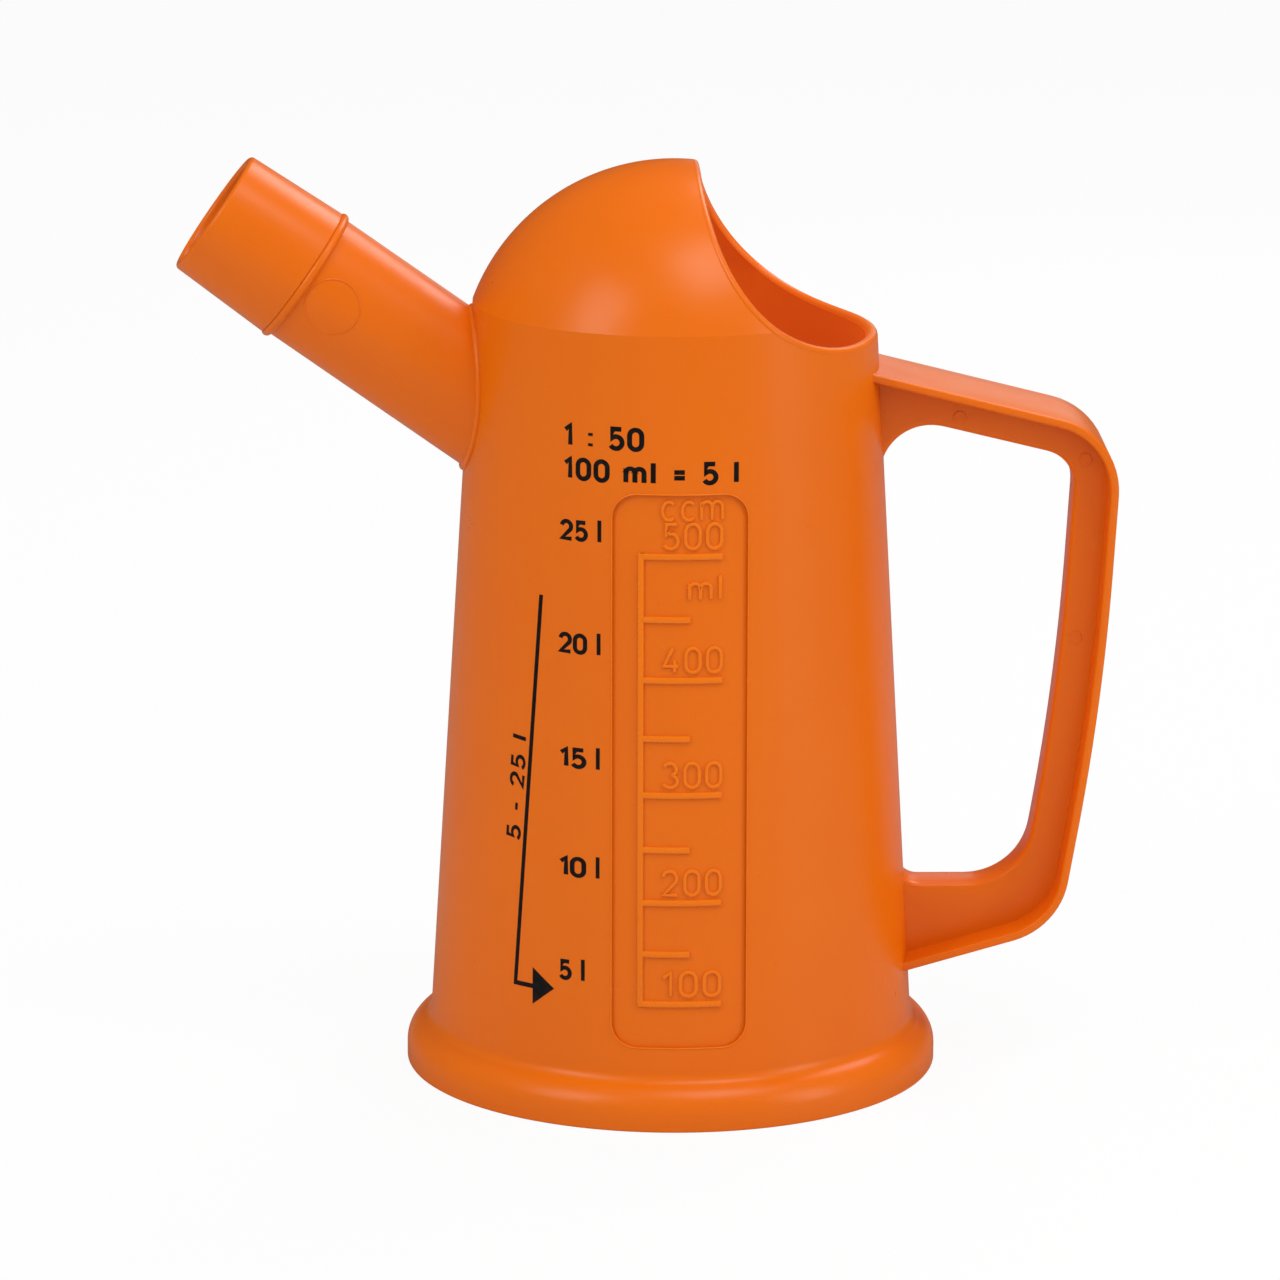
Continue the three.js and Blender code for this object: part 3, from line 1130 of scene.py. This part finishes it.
place(jug(), JUG_ORANGE, "body", "jug_body")
place(smooth(finished("mouth_lip", mouth_lip())), JUG_ORANGE, "body")
place(smooth(finished("spout_seam", spout_seam()), 40), JUG_ORANGE, "body")
place(smooth(finished("parting_line", parting_line())), JUG_ORANGE, "body")
place(smooth(finished("closing_disc", closing_disc())), BASE_ORANGE, "base", "base_disc")
# Painted highlight: the bead, ribs and figures take the lighter orange.
place(smooth(finished("panel_rim", panel_rim()), 50), PAINTED_HIGHLIGHT_ORANGE, "body")
place(smooth(finished("scale_ribs", scale_ribs()), 40), PAINTED_HIGHLIGHT_ORANGE, "body")
place(smooth(finished("mould_marks", mould_marks())), JUG_ORANGE, "body")
place(smooth(finished("scale_figures", scale_figures()), 40), PAINTED_HIGHLIGHT_ORANGE, "body")
place(finished("print", print_on_cone()), PRINT_BLACK, "print")


# Floor, lights and background

FLOOR_HOLE = FOOT_RADIUS - SOLE_ROUND
FLOOR_REACH = 4000
MIDDLE = (0, 0, 0.09)
ARM = (0.06, 0, 0.13)
# Each lamp: name, place, aim, size and power
LAMPS = [
    ("key", (-0.75, -0.6, 0.8), MIDDLE, (0.45, 0.6), 4.0),
    ("fill", (0.95, -0.5, 0.45), MIDDLE, (0.3, 0.7), 2.8),
    ("top", (0.25, -0.35, 1.1), MIDDLE, (0.5, 0.5), 3.8),
    ("rim", (0.45, 0.65, 0.85), MIDDLE, (0.5, 0.5), 4.0),
    ("back", (0.21, 0.9, 0.25), ARM, (0.3, 0.2), 0.15),
]


def floor_material():
    """White to the camera but for the shadow, dim in reflections, and clear from below."""
    graph = Graph(bpy.data.materials.new("floor_white"))
    seen = graph.node("LightPath", "Is Camera Ray")
    mirrored = graph.node("LightPath", "Is Glossy Ray")
    spots = graph.noise(graph.node("TexCoord", "Object"), 3.0)
    pale = graph.mix(graph.ramp(spots, 0.0, 1.0), FLOOR_PALE, FLOOR_PALER)
    graph.set(Base_Color=graph.mix(mirrored, pale, FLOOR_MIRRORED), Roughness=0.6)
    plain = Socket(graph, graph.shader.outputs[0])
    glow = graph.node("Emission", "Emission", {"Color": WHITE, "Strength": 1.0})
    feeds = {"Fac": seen * FLOOR_SHOWN_WHITE, 1: plain, 2: glow}
    above = graph.node("MixShader", "Shader", feeds)
    clear = graph.node("BsdfTransparent", "BSDF")
    below = graph.node("NewGeometry", "Backfacing")
    surface = graph.node("MixShader", "Shader", {"Fac": below, 1: above, 2: clear})
    graph.feed(graph.tree.nodes["Material Output"].inputs["Surface"], surface)
    return graph.owner


def make_floor():
    """A wide ring, open under the foot, so that the underside gets light too."""
    bm = bmesh.new()
    for radius in (FLOOR_HOLE, FLOOR_REACH):
        bmesh.ops.create_circle(bm, cap_ends=False, radius=radius, segments=96)
    bmesh.ops.bridge_loops(bm, edges=bm.edges[:])
    floor = finished("floor", bm)
    if floor.data.polygons[0].normal.z < 0:
        floor.data.flip_normals()
    floor.data.materials.append(floor_material())


def area_light(name, at, target, size, power):
    data = bpy.data.lights.new(name, "AREA")
    data.shape = "RECTANGLE"
    data.size, data.size_y = size
    data.energy = power
    light = bpy.data.objects.new(name, data)
    light.location = at
    aim = Vector(target) - Vector(at)
    light.rotation_euler = aim.to_track_quat("-Z", "Y").to_euler()
    bpy.context.scene.collection.objects.link(light)


def make_world():
    """A grey studio that is white to the camera and dim in reflections."""
    graph = Graph(bpy.data.worlds.new("studio"), "Background")
    mirrored = graph.node("LightPath", "Is Glossy Ray")
    seen = graph.node("LightPath", "Is Camera Ray")
    graph.set(Color=graph.mix(seen, graph.mix(mirrored, STUDIO_GREY, STUDIO_MIRRORED), WHITE))
    bpy.context.scene.world = graph.owner


make_floor()
for lamp in LAMPS:
    area_light(*lamp)
make_world()

bpy.context.scene.view_settings.view_transform = "Standard"
